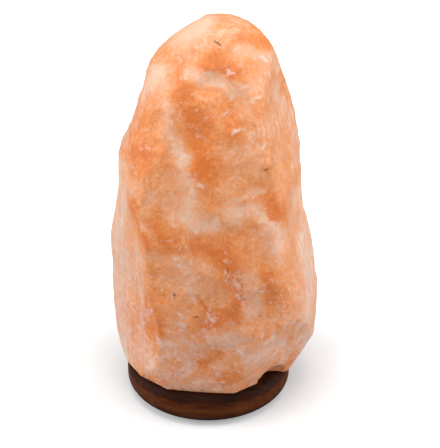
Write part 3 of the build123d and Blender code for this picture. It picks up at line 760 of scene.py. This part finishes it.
def stroke_cover(pixels, points, half_width):
    """How much of a stroke covers each pixel place: 1 along its middle, thinning out at its edge."""
    nearest = np.full(len(pixels), 1e9)
    starts = [np.array(p, float) for p in points]
    for start, end in zip(starts, starts[1:] or starts):
        along = end - start
        length = max(float(along @ along), 1e-9)
        share = np.clip(((pixels - start) @ along) / length, 0, 1)
        gap = np.linalg.norm(pixels - (start + share[:, None] * along), axis=1)
        nearest = np.minimum(nearest, gap)
    return np.exp(-((nearest / half_width) ** 2) * 1.1)


def soft_noise(places, size, seed):
    """Smooth noise about 0 at each place, with swells of this size in millimetres."""
    shift = Vector((seed, seed * 0.7, -seed))
    return np.array([noise.noise(Vector(p) / (size * MM) + shift) for p in places])


def unsteady(places, seed):
    """How far the brush strays at each place, in pixels, so that no stroke keeps a straight edge."""
    stray = np.zeros((len(places), 2))
    for size, reach in ((24, 9.0), (9, 5.0), (4, 2.5)):
        stray[:, 0] += reach * soft_noise(places, size, seed)
        stray[:, 1] += reach * soft_noise(places, size, seed + 40)
    return stray


def brushed(places, pixels, strokes, seed):
    """The strongest stroke at each place, its edges made unsteady by a seed of its own."""
    strayed = pixels + unsteady(places, seed)
    cover = np.zeros(len(places))
    for points, half_width, strength in strokes.values():
        cover = np.maximum(cover, strength * stroke_cover(strayed, points, half_width))
    return cover


def paint(mesh, name, value):
    attribute = mesh.attributes.new(name, "FLOAT", "POINT")
    attribute.data.foreach_set("value", value.astype(np.float32))


def paint_salt(crystal):
    """Lays the colours on: by brush where the photograph shows the lump, by soft noise elsewhere."""
    mesh = crystal.data
    places = vertex_places(mesh)
    to_camera = np.array(CAMERA_PLACE) - places
    to_camera /= np.linalg.norm(to_camera, axis=1)[:, None]
    facing = np.clip((vertex_normals(mesh) * to_camera).sum(axis=1) * 3 + 0.5, 0, 1)
    unseen = 1 - facing
    pixels = picture_places(places)
    swells = soft_noise(places, SWELL_SIZE, 3.0)
    patches = soft_noise(places, PATCH_SIZE, 8.0)
    low = np.clip((BASE_TOP + MILKY_HEIGHT * MM - places[:, 2]) / (MILKY_GROWTH * MM), 0, 1)
    sideways = np.abs(vertex_normals(mesh)[:, 0])
    laid = {name: facing * brushed(places, pixels, *brush) for name, brush in BRUSHES.items()}
    laid["iron"] += unseen * np.clip(1.6 * swells + 0.3, 0, 1)
    back_veils = soft_noise(places, BACK_VEIL_SIZE, 15.0)
    laid["veil_and_highlight"] += unseen * np.clip(1.3 * back_veils + 0.6 * patches - 0.1, 0, 0.8)
    laid["veil_and_highlight"] = np.maximum(laid["veil_and_highlight"], 0.62 * low * np.clip(0.5 + 1.6 * patches, 0, 1))
    # Faces turned sideways get the pale ribs, partly painted reflection, also where the brush does not
    # reach.
    laid["side"] += unseen * np.clip((sideways - PALE_RIBS_AND_REFLECTION_FROM) * 5, 0, 1)
    clouds = 0.45 + 0.14 * low + 0.2 * swells + 0.24 * patches
    laid["iron"] = clouds + 0.52 * laid["iron"] - 0.2 * laid["veil_and_highlight"]
    for name, value in laid.items():
        paint(mesh, name, value)


def keep_off_bore(places):
    """1 on the outside of the lump, 0 in its bore and on its foot, where it is sawn and drilled."""
    from_axis = np.hypot(places[:, 0] - AXIS.x, places[:, 1] - AXIS.y) / MM
    height = places[:, 2] / MM
    off_bore = np.clip((from_axis - BORE_RADIUS - SKIN_MARGIN) / SKIN_GROWTH, 0, 1)
    over_bore = np.clip((height - BORE_TOP - BORE_TOP_MARGIN) / BORE_TOP_GROWTH, 0, 1)
    off_foot = np.clip((height - BASE_TOP / MM - FOOT_MARGIN) / FOOT_GROWTH, 0, 1)
    return np.minimum(np.maximum(off_bore, over_bore), off_foot)


def set_group(piece, name, weights):
    group = piece.vertex_groups.new(name=name)
    levels = np.round(np.clip(weights, 0, 1) * 20) / 20
    for level in np.unique(levels):
        group.add(np.flatnonzero(levels == level).tolist(), float(level), "REPLACE")


def displace(piece, name, group, kind, size, strength, middle=0.5, stretch=None, **settings):
    """Pushes the skin in and out by a texture with features of this size, both in millimetres. stretch
    draws the features out along the axes."""
    texture = bpy.data.textures.new(name, kind)
    texture.noise_scale = size * MM
    for key, value in settings.items():
        setattr(texture, key, value)
    options = {"texture_coords": "LOCAL"}
    helper = None
    if stretch:
        helper = bpy.data.objects.new(name + "_grid", None)
        bpy.context.scene.collection.objects.link(helper)
        helper.scale = stretch
        bpy.context.view_layer.update()
        options = {"texture_coords": "OBJECT", "texture_coords_object": helper}
    apply_modifier(
        piece,
        "DISPLACE",
        texture=texture,
        vertex_group=group,
        strength=strength * MM,
        mid_level=middle,
        **options,
    )
    if helper:
        bpy.data.objects.remove(helper)


def rock_salt_crystal():
    """The CAD lump, with its skin roughened in layers from 30 mm swells down to 2.6 mm grains."""
    crystal = merged_copy("salt_crystal", "rock_salt_crystal")
    apply_modifier(crystal, "REMESH", mode="VOXEL", voxel_size=VOXEL * MM, use_smooth_shade=True)
    set_group(crystal, "skin", keep_off_bore(vertex_places(crystal.data)))
    apply_modifier(crystal, "SMOOTH", vertex_group="skin", factor=0.5, iterations=8)
    normals = vertex_normals(crystal.data)
    skin = keep_off_bore(vertex_places(crystal.data))
    sides = np.clip((np.abs(normals[:, 0]) - RIBBED_FROM) * 6, 0, 1)
    set_group(crystal, "sides", skin * sides)
    displace(crystal, "swells", "skin", "CLOUDS", 30, 1.4, middle=0.55, noise_depth=1)
    displace(crystal, "shells", "skin", "VORONOI", 17, 1.0, middle=0.6, distance_metric="DISTANCE")
    displace(crystal, "knocks", "skin", "CLOUDS", 7, 1.0, noise_depth=2)
    displace(crystal, "ribs", "sides", "CLOUDS", 4.5, 1.6, middle=0.6, stretch=(1, 1, 9), noise_depth=1)
    displace(crystal, "grains", "skin", "CLOUDS", 2.6, 0.5, noise_depth=2)
    keep_in_box(crystal)
    paint_salt(crystal)
    return crystal


def keep_in_box(piece):
    """No point of a piece reaches past the CAD model's box."""
    mesh = piece.data
    places = vertex_places(mesh)
    places = np.clip(places, np.array(cad_low), np.array(cad_high))
    mesh.vertices.foreach_set("co", places.ravel())
    mesh.update()


# ---------------------------------------------------------------- threads and the coiled filament
THREAD_PITCH = 2.822
THREAD_DEPTH = 0.26  # middle line to crest
SQUARES_AROUND = 72
ROWS_PER_TURN = 10
CAP_RADIUS = 6.7
CAP_BOTTOM = 47.7
CAP_LIP_BOTTOM = 61.7
CAP_TOP = 64.7
CAP_LIP_RADIUS = 8.1
CAP_WALL = 0.4
NECK_RADIUS = 7.35
SLEEVE_RADIUS = 7.45
SLEEVE_FLANGE_RADIUS = 5.85
SLEEVE_BOTTOM = 39.0
SLEEVE_TOP = 56.5
# How much of the sleeve's ends, and of the cap under its lip, is left without a thread.
SLEEVE_PLAIN_FOOT = 1.5
SLEEVE_PLAIN_TOP = 0.3
CAP_PLAIN_TOP = 1.0
NIPPLE_RADIUS = 5.06
NIPPLE_BOTTOM = 10.2
NIPPLE_TOP = 14.8
NIPPLE_PITCH = 1.0
NIPPLE_THREAD_DEPTH = 0.12
NIPPLE_SKIN = 0.1  # thickness of the threaded skin laid over the cap's plain nipple
FILAMENT_HALF_SPAN = 7.0
FILAMENT_RISE = 4.0
FILAMENT_END_HEIGHT = 82.7
COIL_RADIUS = 0.27
COIL_WIRE_RADIUS = 0.11
COIL_PITCH = 0.5
POINTS_PER_COIL = 10


def along_profile(profile, step):
    """Points along a turned profile, no further apart than step."""
    rows = [profile[0]]
    for (r0, z0), (r1, z1) in zip(profile, profile[1:]):
        count = max(1, math.ceil(math.hypot(r1 - r0, z1 - z0) / step))
        rows += [(r0 + (r1 - r0) * i / count, z0 + (z1 - z0) * i / count) for i in range(1, count + 1)]
    return np.array(rows)


def threaded_tube(name, profile, thread, pitch, depth, wall):
    """A thin tube about the lamp's axis, from its outer profile of radii and heights, with a right-hand
    thread rolled into it between two heights. A flat sheet of squares is wrapped round the axis."""
    rows = along_profile(profile, pitch / ROWS_PER_TURN)
    deselect_all()
    bpy.ops.mesh.primitive_grid_add(x_subdivisions=SQUARES_AROUND, y_subdivisions=len(rows) - 1, size=2.0)
    tube = bpy.context.active_object
    tube.name = name
    flat = vertex_places(tube.data)
    turn = (flat[:, 0] + 1) * math.pi
    row = np.rint((flat[:, 1] + 1) / 2 * (len(rows) - 1)).astype(int)
    radius, height = rows[row, 0], rows[row, 1]
    run_in = np.clip((height - thread[0]) / pitch * 2, 0, 1)
    fade = run_in * np.clip((thread[1] - height) / pitch * 2, 0, 1)
    radius = radius + depth * fade * np.cos(2 * math.pi * height / pitch - turn)
    places = np.stack((radius * np.cos(turn), radius * np.sin(turn), height), axis=1) * MM
    places += np.array((AXIS.x, AXIS.y, 0))
    tube.data.vertices.foreach_set("co", places.ravel())
    tube.data.update()
    bpy.ops.object.mode_set(mode="EDIT")
    bpy.ops.mesh.select_all(action="SELECT")
    bpy.ops.mesh.remove_doubles(threshold=0.001 * MM)
    bpy.ops.object.mode_set(mode="OBJECT")
    apply_modifier(tube, "SOLIDIFY", thickness=wall * MM, offset=-1.0)
    smooth_by_angle(tube, 50)
    return tube


def coiled_filament():
    """The tungsten coil, bowed between the wires' ends. Its turns are drawn 0.5 mm apart, so that they
    show; the real ones are about 0.05 mm apart."""
    bow_radius = (FILAMENT_HALF_SPAN**2 + FILAMENT_RISE**2) / (2 * FILAMENT_RISE)
    bow_middle = FILAMENT_END_HEIGHT + FILAMENT_RISE - bow_radius
    half_angle = math.asin(FILAMENT_HALF_SPAN / bow_radius)
    turns = round(2 * half_angle * bow_radius / COIL_PITCH)
    points = turns * POINTS_PER_COIL
    curve = bpy.data.curves.new("filament_coil", "CURVE")
    curve.dimensions = "3D"
    curve.bevel_depth = COIL_WIRE_RADIUS * MM
    curve.bevel_resolution = 1
    curve.use_fill_caps = True
    spline = curve.splines.new("POLY")
    spline.points.add(points)
    for index in range(points + 1):
        lean = half_angle * (2 * index / points - 1)
        angle = 2 * math.pi * turns * index / points
        out = bow_radius + COIL_RADIUS * math.cos(angle)
        across, up = out * math.sin(lean), bow_middle + out * math.cos(lean)
        place = Vector((across, COIL_RADIUS * math.sin(angle), up))
        spline.points[index].co = (*(place * MM + AXIS), 1.0)
    coil = bpy.data.objects.new("filament_coil", curve)
    bpy.context.scene.collection.objects.link(coil)
    select_only(coil)
    bpy.ops.object.convert(target="MESH")
    smooth_by_angle(coil, 60)
    return coil


# ---------------------------------------------------------------- stage, light and camera
# The stage is in metres.
FLOOR_SIZE = 8.0
# The floor's own white grows between these distances from the lamp's middle, in millimetres, so that
# the lamp's shadow shows only close to it.
SHADOW_NEAR = 60
SHADOW_FAR = 240
LIGHTS_AIM = Vector((0, 0, 0.13))
# Name, place, side and power in watts of each softbox.
SOFTBOXES = (
    ("overhead", (0.0, -0.15, 0.85), 0.5, 3.0),
    ("left_side", (-0.9, -0.1, 0.35), 0.6, 4.0),
    ("right_side", (0.9, -0.1, 0.35), 0.6, 3.6),
    ("front_left", (-0.7, -0.8, 0.9), 0.8, 1.9),
    ("front_right", (0.7, -0.8, 0.9), 0.8, 1.9),
)


def looked_at(tree):
    """1 for rays from the camera and for those that go on through the bulb's glass, else 0."""
    path = add_node(tree, "ShaderNodeLightPath")
    return add_node(
        tree,
        "ShaderNodeMath",
        {0: path.outputs["Is Camera Ray"], 1: path.outputs["Is Transmission Ray"]},
        operation="MAXIMUM",
    ).outputs[0]


def floor_material():
    """Matt paper: grey to the light, and white to the camera away from the lamp's own shadow."""
    material, tree = new_material("matt_paper")
    place = add_node(tree, "ShaderNodeTexCoord").outputs["Object"]
    seen = looked_at(tree)
    colour = add_node(
        tree,
        "ShaderNodeMix",
        {"Factor": seen, 6: linear("#BBBBBB"), 7: linear("#F2F2F2")},
        data_type="RGBA",
    )
    paper = add_node(tree, "ShaderNodeBsdfDiffuse", {"Color": colour.outputs[2]})
    reach = add_node(tree, "ShaderNodeVectorMath", {0: place}, operation="LENGTH")
    away = add_node(
        tree,
        "ShaderNodeMapRange",
        {
            "Value": reach.outputs["Value"],
            "From Min": SHADOW_NEAR * MM,
            "From Max": SHADOW_FAR * MM,
            "To Min": 0.24,
            "To Max": 0.85,
        },
        interpolation_type="SMOOTHSTEP",
    )
    strength = add_node(tree, "ShaderNodeMath", {0: away.outputs[0], 1: seen}, operation="MULTIPLY")
    glow = add_node(tree, "ShaderNodeEmission", {"Color": (1, 1, 1, 1), "Strength": strength.outputs[0]})
    both = add_node(tree, "ShaderNodeAddShader", {0: paper.outputs[0], 1: glow.outputs[0]})
    finish_material(tree, both)
    return material


def make_floor():
    deselect_all()
    bpy.ops.mesh.primitive_plane_add(size=FLOOR_SIZE, location=(0, 0, 0))
    floor = bpy.context.active_object
    floor.name = "paper_floor"
    floor.data.materials.append(floor_material())


def make_world():
    """A soft white room: even light on the lamp, and white behind it."""
    world = bpy.data.worlds.new("white_room")
    bpy.context.scene.world = world
    world.use_nodes = True
    tree = world.node_tree
    tree.nodes.clear()
    light = add_node(tree, "ShaderNodeBackground", {"Color": (1, 1, 1, 1), "Strength": 0.30})
    white = add_node(tree, "ShaderNodeBackground", {"Color": (1, 1, 1, 1), "Strength": 1.0})
    mixed = add_node(
        tree, "ShaderNodeMixShader", {0: looked_at(tree), 1: light.outputs[0], 2: white.outputs[0]}
    )
    add_node(tree, "ShaderNodeOutputWorld", {"Surface": mixed.outputs[0]})


def make_softbox(name, place, size, power):
    """A square soft light, turned to the middle of the crystal."""
    data = bpy.data.lights.new(name, "AREA")
    data.shape = "SQUARE"
    data.size = size
    data.energy = power
    lamp = bpy.data.objects.new(name, data)
    bpy.context.scene.collection.objects.link(lamp)
    lamp.location = place
    aim = LIGHTS_AIM - Vector(place)
    lamp.rotation_euler = aim.to_track_quat("-Z", "Y").to_euler()


def make_camera():
    data = bpy.data.cameras.new("camera")
    data.sensor_width = SENSOR
    data.lens = LENS
    camera = bpy.data.objects.new("camera", data)
    bpy.context.scene.collection.objects.link(camera)
    camera.location = CAMERA_PLACE
    camera.rotation_euler = Euler((math.radians(90 - CAMERA_DOWN), 0, 0))
    bpy.context.scene.camera = camera


bpy.context.scene.view_settings.view_transform = "Standard"
make_camera()
make_world()
for softbox in SOFTBOXES:
    make_softbox(*softbox)
make_floor()

salt = split_rock_salt()
wood = stained_turned_wood()
# Screws and nut: steel, zinc-plated. The bright bluish plating has a spangle about 0.7 mm across.
steel = worked_surface("zinc_plated_steel", "#D6DADF", "#AEB3BA", 0.7, (0.24, 0.42), 1.0, depth=0.004)
# Wall plugs: nylon, moulded in its natural milky white. The mould's fine spark texture dulls it.
nylon = worked_surface("moulded_nylon", "#E6E3D9", "#D2CEC1", 0.9, (0.42, 0.58), depth=0.02, IOR=1.53)
# Feet: black rubber, moulded. Bloom greys it in patches of about 2 mm, and it hardly shines.
rubber = worked_surface("moulded_rubber", "#2A2A2A", "#161616", 2.0, (0.70, 0.86), depth=0.03, IOR=1.52)
# Holder: black phenolic, pressed hot in a polished mould. Flow marks of about 4 mm show in its gloss.
phenolic = worked_surface("moulded_phenolic", "#201E20", "#121113", 4.0, (0.20, 0.34), depth=0.01, IOR=1.63)
# Contact block: steatite, fired and left unglazed. It is matt and creamy, with grains of 0.5 mm.
steatite = worked_surface("fired_steatite", "#EFEADD", "#D8D1C0", 0.5, (0.50, 0.68), depth=0.02, IOR=1.59)
# Sleeve, strips and posts: brass, pressed from sheet. Handling tarnishes it in patches of about 3 mm.
brass = worked_surface("pressed_brass", "#E5C377", "#B68C47", 3.0, (0.20, 0.44), 1.0, depth=0.006)
# Spring clip: steel, rolled cold. Grey and bright, with roll lines 0.3 mm apart along the strip.
spring = worked_surface(
    "rolled_spring_steel", "#C9CACE", "#96989E", 0.3, (0.22, 0.40), 1.0, stretch=(1, 1, 0.06), depth=0.003
)
# Bulb's cap: brass, rolled thin and nickel-plated. Warm white and mirror-like, scuffed over 1.5 mm.
nickel = worked_surface("nickel_plated_brass", "#E4DFD2", "#BFB8A8", 1.5, (0.12, 0.26), 1.0, depth=0.004)
# Cap's insulator: black glass, pressed while molten. Deep gloss with slow waves of about 3 mm.
vitrite = worked_surface(
    "pressed_black_glass", "#15151B", "#08080C", 3.0, (0.05, 0.14), depth=0.02, IOR=1.6
)
# Centre contact: solder, left as it froze. Dull grey with crystals of about 0.8 mm.
solder = worked_surface("frozen_solder", "#C2C3C7", "#8E9096", 0.8, (0.34, 0.56), 1.0, depth=0.03)
# Lead wires: nickel, drawn through a die. Fine draw lines 0.1 mm apart run along each wire.
wire = worked_surface(
    "drawn_nickel_wire", "#CBC5B8", "#9B9486", 0.1, (0.20, 0.36), 1.0, stretch=(1, 1, 0.08), depth=0.002
)
# Filament: tungsten, drawn and coiled. Dark grey, with draw lines drawn at 0.2 mm, coarser than real.
tungsten = worked_surface("coiled_tungsten", "#86868B", "#54545A", 0.2, (0.34, 0.52), 1.0, depth=0.002)
# Bulb and stem: soda-lime glass, blown and drawn. Clear, with slow waves of about 9 mm in its wall.
glass = worked_surface(
    "blown_clear_glass",
    "#FFFFFF",
    "#F8FBFA",
    9.0,
    (0.0, 0.02),
    depth=0.02,
    IOR=1.52,
    Transmission_Weight=1.0,
)

hand_over(rock_salt_crystal(), "crystal_and_base", "salt", salt, "salt_crystal")
for node, slot, material in (
    ("wooden_base", "stained_wood", wood),
    ("base_screws", "zinc_screws", steel),
    ("screw_plugs", "nylon", nylon),
    ("rubber_feet", "foot_rubber", rubber),
    ("holder_cap", "black_phenolic", phenolic),
    ("holder_skirt", "black_phenolic", phenolic),
    ("contact_block", "steatite", steatite),
):
    dressed_copy(node, slot, material)
sleeve = threaded_tube(
    "threaded_sleeve",
    [(SLEEVE_FLANGE_RADIUS, SLEEVE_BOTTOM), (SLEEVE_RADIUS, SLEEVE_BOTTOM), (SLEEVE_RADIUS, SLEEVE_TOP)],
    (SLEEVE_BOTTOM + SLEEVE_PLAIN_FOOT, SLEEVE_TOP - SLEEVE_PLAIN_TOP),
    THREAD_PITCH,
    THREAD_DEPTH,
    CAP_WALL,
)
hand_over(sleeve, "lamp_holder", "brass", brass, "screw_sleeve")
nipple_thread = threaded_tube(
    "nipple_thread",
    [(NIPPLE_RADIUS, NIPPLE_BOTTOM), (NIPPLE_RADIUS, NIPPLE_TOP)],
    (NIPPLE_BOTTOM, NIPPLE_TOP),
    NIPPLE_PITCH,
    NIPPLE_THREAD_DEPTH,
    NIPPLE_SKIN,
)
hand_over(nipple_thread, "lamp_holder", "black_phenolic", phenolic)
for node, slot, material in (
    ("centre_contact", "brass", brass),
    ("side_contact", "brass", brass),
    ("terminal_posts", "brass", brass),
    ("terminal_screws", "zinc_screws", steel),
    ("lock_nut", "zinc_screws", steel),
    ("clip_bracket", "spring_steel", spring),
    ("clip_wing_left", "spring_steel", spring),
    ("clip_wing_right", "spring_steel", spring),
    ("bulb_glass", "clear_glass", glass),
):
    dressed_copy(node, slot, material)
cap = threaded_tube(
    "threaded_bulb_cap",
    [
        (CAP_RADIUS, CAP_BOTTOM),
        (CAP_RADIUS, CAP_LIP_BOTTOM - CAP_WALL),
        (CAP_LIP_RADIUS, CAP_LIP_BOTTOM + CAP_WALL),
        (CAP_LIP_RADIUS, CAP_TOP),
        (NECK_RADIUS, CAP_TOP),
    ],
    (CAP_BOTTOM, CAP_LIP_BOTTOM - CAP_PLAIN_TOP),
    THREAD_PITCH,
    THREAD_DEPTH,
    CAP_WALL,
)
hand_over(cap, "bulb", "nickelled_brass", nickel, "bulb_cap")
for node, slot, material in (
    ("cap_insulator", "vitrite", vitrite),
    ("bulb_contact", "solder", solder),
    ("bulb_stem", "clear_glass", glass),
    ("lead_wires", "lead_wire", wire),
):
    dressed_copy(node, slot, material)
hand_over(coiled_filament(), "bulb", "tungsten", tungsten, "filament")
